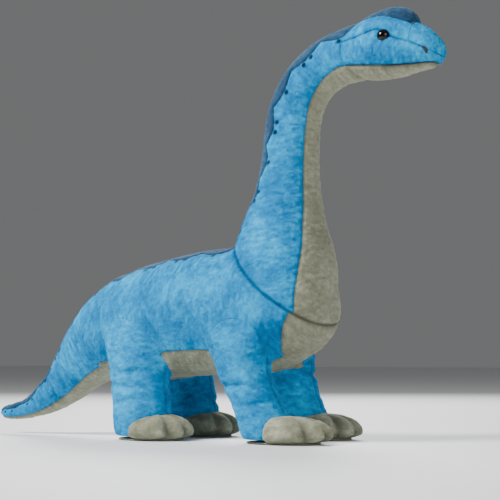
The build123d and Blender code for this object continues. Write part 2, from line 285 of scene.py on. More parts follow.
# ------------------------------------------------------------------ the carried profiles
@dataclass
class Tube:
    """A stuffed tube: ellipses carried along a line in the plane y = 0.

    Each station holds x, z, half height and half width.  The sections stand square to the
    line, or upright where the part lies level.
    """

    stations: Sequence[Sequence[float]]
    upright: bool = False
    samples: int = 260

    def __post_init__(self) -> None:
        """Work out the dense line with its directions and lengths."""
        rows = eased_rows(np.array(self.stations, float)[:, :4], self.samples)
        self.centre = rows[:, :2]
        self.half = rows[:, 2:4]
        along = np.gradient(self.centre, axis=0)
        along /= np.linalg.norm(along, axis=1)[:, None]
        if self.upright:
            along = np.tile([1.0, 0.0], (self.samples, 1))
        self.along = along
        self.up = np.stack([-along[:, 1], along[:, 0]], axis=1)
        steps = np.linalg.norm(np.diff(self.centre, axis=0), axis=1)
        self.length = np.concatenate([[0.0], np.cumsum(steps)])

    def surface(self, inset: float, around: int = 64, skip: int = 4) -> Surface:
        """The tube's skin: centre + up * high * cos(a) + side * wide * sin(a), drawn in."""
        pick = np.arange(0, self.samples, skip)
        angle = np.linspace(0.0, 2.0 * np.pi, around, endpoint=False)
        half = np.maximum(self.half[pick] - inset, 0.8)
        rise = half[:, :1] * np.cos(angle)
        rings = np.empty((len(pick), around, 3))
        rings[..., 0] = self.centre[pick, :1] + self.up[pick, :1] * rise
        rings[..., 2] = self.centre[pick, 1:] + self.up[pick, 1:] * rise
        rings[..., 1] = -half[:, 1:] * np.sin(angle)
        return ring_surface(rings)

    def locate(self, points: Array) -> dict[str, Array]:
        """Find each point's place on the tube.

        Args:
            points: places in millimetres.

        Returns:
            The length along the line, the angle from the back in degrees, how many radii the
            point is from the line, and the mean radius there.
        """
        result = {key: np.empty(len(points)) for key in ("s", "angle", "q", "radius")}
        for first in range(0, len(points), 40000):
            part = slice(first, first + 40000)
            p = points[part][:, [0, 2]]
            nearest = np.argmin(
                ((p[:, None, :] - self.centre[None]) ** 2).sum(axis=2), axis=1)
            offset = p - self.centre[nearest]
            if self.upright:
                nearest = np.clip(np.searchsorted(self.centre[:, 0], p[:, 0]), 0,
                                  self.samples - 1)
                offset = p - self.centre[nearest]
            rise = (offset * self.up[nearest]).sum(axis=1)
            drift = (offset * self.along[nearest]).sum(axis=1)
            high, wide = self.half[nearest, 0], self.half[nearest, 1]
            side = np.abs(points[part][:, 1])
            result["s"][part] = self.length[nearest] + drift
            result["angle"][part] = np.degrees(np.arctan2(side / wide, rise / high))
            end = np.maximum(np.abs(drift) - 3.0, 0.0) / np.minimum(high, wide)
            result["q"][part] = np.sqrt((side / wide) ** 2 + (rise / high) ** 2 + end**2)
            result["radius"][part] = 0.5 * (high + wide)
        return result


@dataclass
class Leg:
    """One leg: level ellipses whose middles move from the hip to the foot."""

    name: str
    side: Side
    sections: Sequence[Sequence[float]]
    hip: tuple[float, float]
    foot: tuple[float, float]
    reach: float

    def __post_init__(self) -> None:
        """Work out the middle and half sizes at 80 heights."""
        rows = np.array(self.sections, float)[::-1]
        padded = np.column_stack([rows[:, 0], np.zeros(len(rows)), rows[:, 1:]])
        dense = eased_rows(padded, 80)
        self.heights = dense[:, 0]
        self.half = dense[:, 2:4]
        moved = dense[:, 4]
        self.middle = np.stack([self.hip[0] + (self.foot[0] - self.hip[0]) * moved,
                                self.hip[1] + (self.foot[1] - self.hip[1]) * moved], axis=1)

    def surface(self, inset: float, around: int = 56) -> Surface:
        """The leg's skin: a level ellipse at each height, closed under the foot."""
        angle = np.linspace(0.0, 2.0 * np.pi, around, endpoint=False)
        half = self.half - inset
        rings = np.empty((len(self.heights), around, 3))
        rings[..., 0] = self.middle[:, :1] + half[:, :1] * np.cos(angle)
        rings[..., 1] = self.middle[:, 1:] + half[:, 1:] * np.sin(angle)
        rings[..., 2] = self.heights[:, None]
        rings[0, :, 2] += 0.3 * inset
        return ring_surface(rings)

    def locate(self, points: Array) -> dict[str, Array]:
        """Give each point's distance from the leg's line in radii and its place beside it."""
        at = [np.interp(points[:, 2], self.heights, column) for column in
              (self.middle[:, 0], self.middle[:, 1], self.half[:, 0], self.half[:, 1])]
        ahead, beside = points[:, 0] - at[0], points[:, 1] - at[1]
        q = np.sqrt((ahead / at[2]) ** 2 + (beside / at[3]) ** 2)
        q += np.maximum(points[:, 2] - self.heights[-1], 0.0) / 12.0
        return {"q": q, "outward": beside * self.side.value,
                "angle": np.arctan2(beside, ahead)}


TORSO = Tube([(-148, 84, 15, 17), (-140, 89, 26, 29), (-126, 98, 38, 41), (-106, 106, 47, 50),
              (-78, 112, 55, 58), (-40, 117, 59.5, 62), (0, 121.5, 62, 63), (36, 124, 62.5, 62),
              (70, 126, 61, 61), (100, 127, 54, 56), (121, 126, 40, 44), (132, 125, 24, 28),
              (137, 124, 7, 8)], upright=True)
TAIL = Tube([(-253.2, 21, 5.5, 5.5), (-249, 21.5, 8.5, 8.5), (-240, 22, 10.5, 10.5),
             (-222, 24.5, 12, 12), (-196, 35, 17.5, 17.5), (-170, 52, 24, 24),
             (-146, 74, 32, 33), (-124, 92, 40.5, 42.5), (-100, 105, 48, 51),
             (-76, 112.5, 55, 58)])
NECK = Tube([(94, 104, 38, 56), (91, 126, 45, 57), (87, 152, 51, 53), (85.5, 180, 50, 47),
             (87, 205, 42, 41), (90, 230, 34, 34), (92, 256, 30, 30), (94, 283, 28.5, 28.5),
             (98, 309, 27.5, 27.5), (108, 331, 27, 27), (124, 347, 26.5, 26.5),
             (144, 357, 27, 27), (164, 361, 28.3, 28), (180, 362.5, 30.5, 30),
             (194, 363, 31, 30.5), (212, 361.5, 28.5, 28.5), (226, 359, 24, 25.5),
             (238, 354.5, 18.5, 21.5), (247, 351, 13, 16), (252.5, 348.8, 7.5, 9.5)])
FRONT = [(124, 26, 17, 0.0), (104, 32, 24, 0.0), (86, 31, 27, 0.02), (66, 27.5, 26, 0.12),
         (46, 26, 25.5, 0.4), (26, 27, 26.5, 0.72), (12, 29, 27.5, 0.93), (3.2, 29, 27, 1.0)]
HIND = [(124, 30, 17, 0.0), (104, 37, 25, 0.0), (84, 34, 28, 0.2), (60, 31, 28, 0.45),
        (38, 30.5, 28, 0.7), (18, 31, 28.5, 0.9), (3.2, 30, 28, 1.0)]
LEGS = [Leg("front_right", Side.RIGHT, FRONT, (60, -39), (95, -43), 46),
        Leg("front_left", Side.LEFT, FRONT, (66, 39), (86, 43), 43),
        Leg("hind_right", Side.RIGHT, HIND, (-56, -39), (-45, -43), 38),
        Leg("hind_left", Side.LEFT, HIND, (-57, 39), (-43, 43), 38)]

# The seam between neck and torso: its arc's centre x and z, and its radius.
NECK_SEAM = (370.4, 478.9, 440.0)
HEAD_PIVOT, HEAD_SEAT = np.array([191.0, 361.5]), 33.0
TAIL_PIVOT_X, TAIL_SEAT = -146.0, 50.0
NOSE_START_X = 226.0
# Above this height everything in front of the tail is neck or head.
NECK_ONLY_Z = 215.0
# Where the grey chest begins in front of the flank: x at a height, and how it leans back below.
CHEST_SEAM = {"x": 93.0, "z": 69.0, "lean": 0.44}
# The mouth's height along the snout, x against z.
MOUTH_LINE = ([186, 200, 214, 228, 244, 252], [343.6, 342.8, 342.3, 342.4, 343.2, 344.4])
EYE_PLACE = np.array([202.0, 29.0, 370.5])


# ------------------------------------------------------------------ the body's skin
def puffed(start: Surface, held: Array, pressure: float, most: float) -> Surface:
    """Let a cloth simulation blow the skin out between its seams.

    Args:
        start: the skin before it is stuffed.
        held: how firmly each point is held, 1 on a seam.
        pressure: the stuffing's push.
        most: how far a point may move, in millimetres.

    Returns:
        The skin after twenty frames, with each move capped.
    """
    thing = start.to_object("skin_before_stuffing")
    group = thing.vertex_groups.new(name="seams")
    for index in np.nonzero(held > 0.02)[0].tolist():
        group.add([index], float(held[index]), "REPLACE")
    cloth = thing.modifiers.new("Stuffing", "CLOTH")
    settings = cloth.settings
    settings.quality = 4
    settings.mass = 0.25
    settings.tension_stiffness = settings.compression_stiffness = 12.0
    settings.shear_stiffness = 6.0
    settings.bending_stiffness = 0.4
    settings.use_pressure = True
    settings.uniform_pressure_force = pressure
    settings.effector_weights.gravity = 0.0
    settings.vertex_group_mass = group.name
    cloth.point_cache.frame_end = 20
    scene = bpy.context.scene
    for step in range(1, 21):
        scene.frame_set(step)
    after = read_surface(thing)
    remove(thing)
    scene.frame_set(1)
    move = after.points - start.points
    size = np.maximum(np.linalg.norm(move, axis=1), 1e-9)
    move *= (most * np.tanh(size / most) / size)[:, None]
    return Surface(start.points + move, start.faces)


@dataclass
class Skin:
    """The whole sewn skin, before it is cut into panels."""

    voxel: float = 4.0
    inset: float = 1.6
    puff: float = 4.0
    pressure: float = 4.0
    seam_depth: float = 1.1
    seam_width: float = 1.7
    pile_depth: float = 0.28

    def closed_form(self) -> Surface:
        """Join all tubes into one closed skin, even its grid and round its inner corners."""
        parts = [TORSO.surface(self.inset), TAIL.surface(self.inset), NECK.surface(self.inset)]
        parts += [leg.surface(self.inset) for leg in LEGS]
        thing = merged(parts).to_object("tubes")
        remesh = thing.modifiers.new("Even grid", "REMESH")
        remesh.mode = "VOXEL"
        remesh.voxel_size = self.voxel * MM
        soften = thing.modifiers.new("Round corners", "SMOOTH")
        soften.factor = 0.5
        soften.iterations = 6
        form = read_surface(thing)
        remove(thing)
        return form

    def fields(self, points: Array) -> dict[str, Array]:
        """Work out for each point which part it is on and where the seams lie.

        Each seam is a number that is zero on the seam line, in millimetres across it.
        """
        x, y, z = points.T
        torso, tail, neck = TORSO.locate(points), TAIL.locate(points), NECK.locate(points)
        out: dict[str, Array] = {}
        drum = np.hypot(x - NECK_SEAM[0], z - NECK_SEAM[1]) - NECK_SEAM[2]
        out["neck"] = np.where(z > NECK_ONLY_Z, -np.maximum(15.0, np.abs(drum)), drum)
        drum = np.hypot(x - HEAD_PIVOT[0], z - HEAD_PIVOT[1]) - HEAD_SEAT
        drum = np.where(x > HEAD_PIVOT[0], -20.0, drum)
        out["head"] = np.where(z > 300.0, drum, 50.0)
        drum = np.hypot(x - TAIL_PIVOT_X, y) - TAIL_SEAT
        out["tail"] = np.where(x < TAIL_PIVOT_X, -20.0, drum)
        is_neck, is_head, is_tail = out["neck"] < 0, out["head"] < 0, out["tail"] < 0
        best = np.full(len(points), np.inf)
        out["leg"] = np.full(len(points), 50.0)
        out["leg_index"] = np.full(len(points), -1.0)
        out["outward"] = np.full(len(points), 50.0)
        out["leg_turn"] = np.zeros(len(points))
        reach = np.minimum(np.minimum(torso["q"], tail["q"]), neck["q"])
        for index, leg in enumerate(LEGS):
            spot = leg.locate(points)
            near = (spot["q"] < best) & (z < 122.0) & (y * leg.side.value > 0)
            field_here = (spot["q"] - reach) * 30.0
            out["leg"] = np.where(near, field_here, out["leg"])
            out["leg_index"] = np.where(near, index, out["leg_index"])
            out["outward"] = np.where(near, spot["outward"], out["outward"])
            out["leg_turn"] = np.where(near, spot["angle"], out["leg_turn"])
            best = np.where(near, spot["q"], best)
        angle = np.select([is_neck | is_head, is_tail], [neck["angle"], tail["angle"]],
                          torso["angle"])
        radius = np.select([is_neck | is_head, is_tail], [neck["radius"], tail["radius"]],
                           torso["radius"])
        # One length runs from the tail's tip (0) over the back and up the neck.
        tail_end = TAIL.length[-1]
        torso_s = x + 76.0 + tail_end
        neck_s = neck["s"] + 150.0 + tail_end
        run = np.select([is_neck | is_head, is_tail], [neck_s, tail["s"]], torso_s)
        out.update(angle=angle, radius=radius, run=run, neck_s=neck["s"], tail_s=tail["s"])
        arc = np.radians(angle) * radius
        half_strip, pitch = self.strip(out, is_neck | is_head, is_tail, x)
        phase = run / pitch
        wave = np.abs(np.sin(np.pi * phase))
        lobe = np.minimum(0.3 * half_strip, 7.5)
        out["strip"] = arc - half_strip - lobe * (wave - 0.5)
        out["strip_arc"], out["phase"], out["half_strip"] = arc, phase, half_strip
        belly = (self.belly_angle(out, is_neck, is_head, is_tail, x) - angle) \
            * np.radians(1.0) * radius
        chest = 0.9 * (CHEST_SEAM["x"] + CHEST_SEAM["lean"] * (z - CHEST_SEAM["z"]) - x)
        belly = np.where(is_neck | is_head | is_tail, belly, np.minimum(belly, chest))
        mouth = z - np.interp(x, *MOUTH_LINE)
        fore = is_head * smooth_step(184.0, 204.0, x)
        out["belly"] = belly + (mouth - belly) * fore
        out["brow"] = (angle - self.brow(x)) * np.radians(1.0) * radius
        out["nose"] = NOSE_START_X - x
        return out

    @staticmethod
    def strip(out: dict[str, Array], on_neck: Array, on_tail: Array,
              x: Array) -> tuple[Array, Array]:
        """The dorsal strip's half width and the length of its scallops, along the body."""
        neck_s, tail_s = out["neck_s"], out["tail_s"]
        neck_half = np.interp(neck_s, [0, 20, 90, 120, 150, 180, 215, 245, 270, 292, 301, 309,
                                       400],
                              [27, 25, 24, 25, 28, 32, 32.5, 30, 25, 26, 24, 12, 11])
        tail_half = np.interp(tail_s, [0, 20, 60, 130, 200], [9, 12, 16, 21, 26])
        half = np.select([on_neck, on_tail], [neck_half, tail_half], 27.0)
        pitch = np.select([on_neck, on_tail],
                          [33.0 * np.ones_like(x), 33.0 * np.ones_like(x)], 36.0)
        return half, pitch

    @staticmethod
    def belly_angle(out: dict[str, Array], is_neck: Array, is_head: Array, is_tail: Array,
                    x: Array) -> Array:
        """The angle from the back at which the grey underside begins."""
        neck_s = out["neck_s"]
        on_neck = 180.0 - np.interp(neck_s, [0, 25, 60, 90, 120, 200, 235, 262, 285, 305, 330,
                                             370, 400], [50, 50, 46, 40, 35, 34, 40, 50, 57,
                                                         52, 48, 45, 50])
        on_torso = 180.0 - np.interp(x, [-150, -106, -60, 0, 60, 80, 137],
                                     [27, 42, 52, 52, 50, 28, 15])
        on_tail = np.full_like(x, 180.0 - 43.0)
        return np.select([is_neck | is_head, is_tail], [on_neck, on_tail], on_torso)

    @staticmethod
    def brow(x: Array) -> Array:
        """The angle of the seam that runs from the nape over the eye to the nostril."""
        return np.interp(x, [170, 186, 196, 206, 216, 226, 240], [72, 66, 62, 74, 80, 82, 84])


def snapped(surface: Surface, measure: Callable[[Array], Array], domain: Array) -> None:
    """Move the points beside a seam onto it, along the edges that it crosses.

    Args:
        surface: the skin, changed in place.
        measure: gives each point's signed distance from the seam.
        domain: which points the seam may take.
    """
    value = measure(surface.points)
    a, b = surface.edges().T
    crossing = (value[a] * value[b] < 0) & domain[a] & domain[b]
    a, b = a[crossing], b[crossing]
    swap = np.abs(value[a]) > np.abs(value[b])
    near, far = np.where(swap, b, a), np.where(swap, a, b)
    share = value[near] / (value[near] - value[far])
    target = surface.points[near] + (surface.points[far] - surface.points[near]) * share[:, None]
    total = np.zeros_like(surface.points)
    count = np.zeros(len(surface.points))
    np.add.at(total, near, target)
    np.add.at(count, near, 1.0)
    moved = count > 0
    surface.points[moved] = total[moved] / count[moved][:, None]


@dataclass
class Fold:
    """A soft fold in the skin: a groove along a short path, on one side of the animal or both."""

    path: Sequence[tuple[float, float, float]]
    depth: float
    width: float
    both: bool = True

    def press(self, points: Array) -> Array:
        """How deep the fold is at each point, fading towards the path's ends."""
        total = np.zeros(len(points))
        for side in ((-1, 1) if self.both else (-1,)):
            path = np.array(self.path, float) * [1.0, float(-side), 1.0]
            total += self.depth * bell(distance_to_path(points, path), self.width)
        return total


FOLDS = [
    Fold([(8, -63, 128), (16, -63, 118), (27, -62, 104), (37, -58, 90), (40, -50, 80)], 3.2, 4.2),
    Fold([(-31, -62, 112), (-24, -61, 100), (-17, -58, 88), (-14, -50, 76)], 3.0, 4.5),
    Fold([(-96, -46, 124), (-92, -51, 108), (-89, -50, 92), (-86, -42, 80)], 3.0, 5.0),
    Fold([(92, -56, 106), (95, -50, 94), (90, -40, 84)], 2.6, 4.5),
    Fold([(-8, -64, 126), (2, -64, 112), (6, -62, 100)], 1.3, 4.0, both=False),
    Fold([(30, -62, 96), (60, -69, 84), (84, -62, 78)], 0.9, 4.0),
    Fold([(-84, -58, 72), (-60, -71, 66), (-34, -62, 62)], 1.0, 4.5),
]


@dataclass
class Wrinkle:
    """A crease across one leg: how high it is, how it slopes, how deep, and where round the leg."""

    leg: int
    height: float
    slope: float
    depth: float
    middle: float
    reach: float


WRINKLES = [
    Wrinkle(0, 53, 0.05, 1.9, -1.9, 1.3), Wrinkle(0, 37, 0.12, 1.2, -1.2, 1.0),
    Wrinkle(0, 22, 0.1, 0.9, -1.9, 0.8), Wrinkle(1, 62, -0.1, 1.9, 0.3, 1.3),
    Wrinkle(1, 44, 0.12, 1.2, 1.2, 1.0), Wrinkle(2, 52, -0.1, 1.5, -2.0, 1.1),
    Wrinkle(2, 38, 0.14, 1.3, -1.6, 1.0), Wrinkle(2, 66, 0.1, 1.1, -1.2, 0.8),
    Wrinkle(3, 50, 0.1, 1.5, 1.8, 1.1), Wrinkle(3, 34, -0.1, 1.2, 0.6, 1.0),
]


def wrapped(turn: Array) -> Array:
    """Bring an angle in radians into -pi to pi."""
    return (turn + np.pi) % (2.0 * np.pi) - np.pi


@dataclass
class Dress:
    """Works the smooth skin over: seams, folds, scallops, dots and pile."""

    skin: Skin

    def make(self) -> tuple[Surface, dict[str, Array]]:
        """Build the whole skin and say what lies where on it.

        Returns:
            The finished surface, and its fields at each point.
        """
        form = self.skin.closed_form()
        LOG.info("skin before stuffing: %d points", len(form.points))
        fields = self.skin.fields(form.points)
        seam = self.seam_closeness(fields, 5.0)
        foot = smooth_step(10.0, 4.0, form.points[:, 2])
        form = puffed(form, np.clip(np.maximum(0.85 * seam, foot), 0.0, 1.0),
                      self.skin.pressure, self.skin.puff)
        thing = form.to_object("coarse_skin")
        finer = thing.modifiers.new("Finer", "SUBSURF")
        finer.levels = finer.render_levels = 2
        surface = read_surface(thing)
        remove(thing)
        surface.points[:, 2] = np.maximum(surface.points[:, 2], 1.2)
        LOG.info("fine skin: %d points", len(surface.points))
        self.snap(surface)
        fields = self.skin.fields(surface.points)
        self.work_over(surface, fields)
        return surface, fields

    def seam_closeness(self, f: dict[str, Array], width: float) -> Array:
        """How near each point is to a seam, 1 on it, falling off as a bell."""
        on_leg = f["leg"] < 0
        on_head = f["head"] < 0
        body = ~on_leg
        near = bell(f["strip"], width) * body * ~(on_head & (f["nose"] < 0))
        near = np.maximum(near, bell(f["belly"], width) * body)
        near = np.maximum(near, bell(f["outward"], width) * on_leg)
        near = np.maximum(near, bell(f["neck"], width) * (f["neck"] > -40) * body)
        near = np.maximum(near, bell(f["head"], width))
        near = np.maximum(near, bell(f["brow"], width) * on_head)
        return near

    def snap(self, surface: Surface) -> None:
        """Lay the grid's edges along every seam that two panels meet on."""
        skin = self.skin

        def value(name: str) -> Callable[[Array], Array]:
            return lambda points: skin.fields(points)[name]

        f = skin.fields(surface.points)
        everywhere = np.ones(len(surface.points), dtype=bool)
        body = f["leg"] > -1.0
        snapped(surface, value("leg"), everywhere)
        snapped(surface, value("neck"), body)
        snapped(surface, value("head"), everywhere)
        snapped(surface, value("tail"), everywhere)
        snapped(surface, value("strip"), body)
        snapped(surface, value("belly"), body)
        snapped(surface, value("outward"), f["leg"] < 1.0)
        snapped(surface, value("brow"), f["head"] < 1.0)
        snapped(surface, value("nose"), (f["head"] < 1.0) & (f["brow"] < 3.0))

    def work_over(self, surface: Surface, f: dict[str, Array]) -> None:
        """Press in the seams and folds, raise the pile, and mark the painted shade and light, the dots
        and the chart.

        The move along the normal is puff - seam groove - folds - wrinkles + tufts + pile.
        """
        p = surface.points
        normal = surface.normals()
        on_leg, on_head = f["leg"] < 0, f["head"] < 0
        skin = self.skin
        seam = self.seam_closeness(f, skin.seam_width)
        groove = skin.seam_depth * seam
        strong = bell(f["neck"], 1.5) * (f["neck"] > -40) * ~on_leg
        brow_seam = bell(f["brow"], 1.4) * on_head * (p[:, 0] < 236)
        mouth = bell(f["belly"], 1.6) * on_head
        groove += 1.2 * strong + 0.7 * brow_seam + 0.8 * mouth
        folds = np.zeros(len(p))
        for fold in FOLDS:
            folds += fold.press(p)
        for w in WRINKLES:
            here = (f["leg_index"] == w.leg) & (p[:, 2] < 100)
            turn = wrapped(f["leg_turn"] - w.middle)
            line = p[:, 2] - w.height - w.slope * 28.0 * turn
            cut = bell(line, 2.6) - 0.55 * bell(np.abs(line) - 6.0, 4.0)
            folds += here * w.depth * cut * smooth_step(w.reach, 0.35 * w.reach, np.abs(turn))
        chart = np.stack([f["run"], f["strip_arc"] * np.where(p[:, 1] < 0, 1.0, -1.0)], axis=1)
        chart[on_leg] = np.stack([p[:, 2], f["leg_turn"] * 27.0], axis=1)[on_leg]
        across = np.column_stack([chart[:, 0] / 2.9, chart[:, 1] / 6.5, p[:, 1] * 0.02])
        tufts = 0.42 * layered_noise(across, 1.0, 11, 2)
        fine = skin.pile_depth * noise(p, 1.9, 5)
        soft = 0.55 * layered_noise(p, 26.0, 3, 2)
        face = smooth_step(170.0, 200.0, p[:, 0]) * (p[:, 2] > 300)
        move = soft * (1.0 - 0.7 * face) + tufts * (1.0 - 0.5 * face) + fine
        move -= groove * (1.0 + 0.2 * noise(p, 5.0, 9)) + folds
        move += self.head_shape(p)
        flat = smooth_step(4.0, 10.0, p[:, 2])
        surface.points = p + normal * (move * flat)[:, None]
        # painted shade: seams, folds, leg wrinkles, the brow seam and the mouth seam get a darker
        # colour by how deep their groove is
        crease = np.clip(0.6 * strong + 0.45 * seam * (1.0 - 0.5 * on_head)
                         + 0.2 * brow_seam + 0.6 * mouth
                         + 0.20 * np.clip(folds, 0.0, 4.0), 0.0, 1.0)
        surface.values["crease"] = crease
        surface.values["dots"] = self.dots(f)
        # painted light and shade: the pile's colour is lighter where its tufts and fibres stand out
        # and darker in the hollows between them
        surface.values["tuft"] = np.clip(0.5 + 0.95 * tufts + 0.6 * fine, 0.0, 1.0)
        surface.chart = chart

    @staticmethod
    def head_shape(p: Array) -> Array:
        """Sculpt the head: a socket at the eye, a fuller cheek, a brow and a flatter muzzle."""
        mirrored = p * [1.0, 0.0, 1.0] + np.abs(p[:, 1:2]) * [0.0, 1.0, 0.0]
        on_head = p[:, 2] > 320
        eye = np.linalg.norm(mirrored - EYE_PLACE, axis=1)
        cheek = np.linalg.norm((mirrored - [200, 26, 352]) / [1.6, 1.0, 1.0], axis=1)
        brow = np.linalg.norm((mirrored - [195, 19, 385]) / [1.6, 1.0, 1.0], axis=1)
        dip = np.linalg.norm((mirrored - [222, 22, 366]) / [1.3, 1.0, 1.0], axis=1)
        shape = -1.7 * bell(eye, 8.0) + 1.5 * bell(cheek, 13.0) + 2.9 * bell(brow, 11.0)
        return on_head * (shape - 1.5 * bell(dip, 9.0))

    @staticmethod
    def dots(f: dict[str, Array]) -> Array:
        """The printed dots: a small oval outside the middle of every scallop, some in pairs."""
        phase = f["phase"]
        lobe = np.floor(phase)
        pair = (hash_unit(np.stack([lobe, lobe, lobe], axis=1).astype(np.int64), 4) > 0.1)
        total = np.zeros(len(phase))
        lobe_height = np.minimum(0.15 * f["half_strip"], 3.75)
        across = f["strip_arc"] - f["half_strip"] - lobe_height - 3.4
        size = np.clip(f["radius"] / 26.0, 0.55, 1.0)
        for shift, used in ((0.5, ~pair), (0.36, pair), (0.64, pair)):
            along = (phase - lobe - shift) * 33.0
            spot = np.hypot(along / 2.2, across / 2.9) / size
            total = np.maximum(total, used * smooth_step(1.25, 0.7, spot))
        return total * (f["leg"] > 5) * (f["head"] > 0) * (f["belly"] > 4)


# ------------------------------------------------------------------ cutting into panels
@dataclass
class Panel:
    """One piece of the pattern: its node, its chosen faces, its finish and its body."""

    node: str
    chosen: Array
    finish: str
    body: str


class Pattern:
    """Sorts the skin's faces into the panels of the pattern."""

    def __init__(self, surface: Surface, fields: dict[str, Array]) -> None:
        """Average the fields over each face and sort out the regions."""
        mean = {name: value[surface.faces].mean(axis=1) for name, value in fields.items()}
        y = surface.points[:, 1][surface.faces].mean(axis=1)
        self.mean = mean
        self.y = y
        self.leg = mean["leg"] < 0
        self.head = (mean["head"] < 0) & ~self.leg
        self.neck = (mean["neck"] < 0) & ~self.head & ~self.leg
        self.tail = (mean["tail"] < 0) & ~self.leg & ~self.neck
        self.torso = ~(self.leg | self.head | self.neck | self.tail)

    def panels(self) -> list[Panel]:
        """All panels of the skin, in the order in which the toy is sewn."""
        m, found = self.mean, []
        strip, under = m["strip"] < 0, m["belly"] < 0
        cover = ~strip & ~under
        for region, body, names in (
                (self.torso, "root", ("back_strip", "belly_panel", "flank_{}")),
                (self.neck, "neck", ("neck_strip", "throat_panel", "neck_cover_{}")),
                (self.tail, "tail", ("tail_strip", "tail_underside", "tail_cover_{}"))):
            found.append(Panel(names[0], region & strip, "navy", body))
            found.append(Panel(names[1], region & under & ~strip, "grey", body))
            for side in Side:
                half = region & cover & (self.y * side.value > 0)
                found.append(Panel(names[2].format(side.word), half, "blue", body))
        nose = self.head & (m["nose"] < 0) & (m["brow"] < 0)
        back = self.head & ~nose
        found.append(Panel("nose_panel", nose, "blue", "head"))
        found.append(Panel("head_strip", back & strip, "navy", "head"))
        found.append(Panel("chin_panel", back & under & ~strip, "grey", "head"))
        for side in Side:
            half = back & cover & (self.y * side.value > 0)
            above = half & (m["brow"] < 0)
            found.append(Panel(f"crown_{side.word}", above, "blue", "head"))
            found.append(Panel(f"cheek_{side.word}", half & ~above, "blue", "head"))
        for index, leg in enumerate(LEGS):
            whole = self.leg & (np.round(m["leg_index"]) == index)
            outer = m["outward"] > 0
            found.append(Panel(f"{leg.name}_leg_outer", whole & outer, "blue", "root"))
            found.append(Panel(f"{leg.name}_leg_inner", whole & ~outer, "blue", "root"))
        return found


BLENDS = {
    "neck": ("root", "neck", (91.0, 0.0, 163.0), (128.0, 0.0, 222.0)),
    "head": ("neck", "head", (174.0, 0.0, 361.0), (193.0, 0.0, 361.0)),
    "tail": ("root", "tail", (-127.0, 0.0, 88.0), (-192.0, 0.0, 48.0)),
}


def metres(place: Sequence[float]) -> tuple[float, float, float]:
    """A place in millimetres, in metres."""
    return (place[0] * MM, place[1] * MM, place[2] * MM)


def join_over(piece: bpy.types.Object, body: str) -> None:
    """Ride a piece on its body; where the body has a seam in BLENDS, only bake the piece's place into
    its mesh.
    """
    if body in BLENDS:
        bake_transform(piece)
    else:
        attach(piece, body)


# ------------------------------------------------------------------ shader maths
class Wire:
    """A shader socket that adds Math nodes when it is used in an expression."""

    def __init__(self, paint: "Paint", socket: bpy.types.NodeSocket) -> None:
        """Remember the material and the socket."""
        self.paint, self.socket = paint, socket

    def _math(self, operation: str, first: Any, second: Any) -> "Wire":
        """One Math node on two values."""
        return self.paint.node("ShaderNodeMath", {"operation": operation}, {0: first, 1: second})

    def __add__(self, other: Any) -> "Wire":
        """This plus other."""
        return self._math("ADD", self, other)

    __radd__ = __add__

    def __mul__(self, other: Any) -> "Wire":
        """This times other."""
        return self._math("MULTIPLY", self, other)

    __rmul__ = __mul__

    def __sub__(self, other: Any) -> "Wire":
        """This minus other."""
        return self._math("SUBTRACT", self, other)

    def __rsub__(self, other: Any) -> "Wire":
        """Other minus this."""
        return self._math("SUBTRACT", other, self)

    def clamped(self) -> "Wire":
        """This, kept between 0 and 1."""
        return self.paint.node("ShaderNodeClamp", {}, {"Value": self})


class Paint:
    """A procedural material under construction."""

    def __init__(self, name: str) -> None:
        """Start a material with an empty Principled shader."""
        self.material = bpy.data.materials.new(name)
        self.material.use_nodes = True
        self.tree = self.material.node_tree
        self.shader = self.tree.nodes["Principled BSDF"]

    def node(self, kind: str, settings: dict[str, Any], inputs: dict[Any, Any],
             output: Any = 0) -> Wire:
        """Add a node.

        Args:
            kind: the node's Blender type.
            settings: its own settings; "stops" holds a ramp's positions and colours.
            inputs: values or wires for its sockets, by name or number.
            output: which output to give back.

        Returns:
            The output, ready for an expression.
        """
        made = self.tree.nodes.new(kind)
        for key, value in settings.items():
            if key == "stops":
                self._ramp(made.color_ramp, value)
            else:
                setattr(made, key, value)
        for key, value in inputs.items():
            if isinstance(value, Wire):
                self.tree.links.new(value.socket, made.inputs[key])
            else:
                made.inputs[key].default_value = value
        return Wire(self, made.outputs[output])

    @staticmethod
    def _ramp(ramp: bpy.types.ColorRamp, stops: Sequence[tuple[float, Sequence[float]]]) -> None:
        """Lay out a colour ramp's stops."""
        while len(ramp.elements) < len(stops):
            ramp.elements.new(0.5)
        for element, (place, colour) in zip(ramp.elements, stops):
            element.position, element.color = place, (*colour, 1.0)

    def set(self, **values: Any) -> None:
        """Set the shader's own sockets, named with underscores for spaces."""
        for key, value in values.items():
            socket = self.shader.inputs[key.replace("_", " ")]
            if isinstance(value, Wire):
                self.tree.links.new(value.socket, socket)
            else:
                socket.default_value = value

    def place(self) -> Wire:
        """Object coordinates."""
        return self.node("ShaderNodeTexCoord", {}, {}, "Object")

    def value(self, name: str) -> Wire:
        """A value stored on the mesh's points."""
        return self.node("ShaderNodeAttribute", {"attribute_name": name}, {}, "Fac")

    def cloud(self, where: Wire, scale: float, detail: float = 2.0,
              roughness: float = 0.5) -> Wire:
        """Smooth noise."""
        return self.node("ShaderNodeTexNoise", {}, {
            "Vector": where, "Scale": scale, "Detail": detail, "Roughness": roughness}, "Fac")

    def mix(self, share: Any, first: Any, second: Any, how: str = "MIX") -> Wire:
        """Mix two colours; a plain colour is given as three numbers."""
        first, second = ((*c, 1.0) if isinstance(c, tuple) else c for c in (first, second))
        return self.node("ShaderNodeMix", {"data_type": "RGBA", "blend_type": how},
                         {0: share, 6: first, 7: second}, 2)

    def ramp(self, share: Wire, stops: Sequence[tuple[float, Sequence[float]]]) -> Wire:
        """Turn a number into a colour."""
        return self.node("ShaderNodeValToRGB", {"stops": stops}, {"Fac": share}, "Color")

    def bump(self, height: Wire, distance: float, strength: float) -> Wire:
        """A bump from a height in metres."""
        return self.node("ShaderNodeBump", {}, {
            "Height": height, "Distance": distance, "Strength": strength}, "Normal")


Colour = tuple[float, float, float]


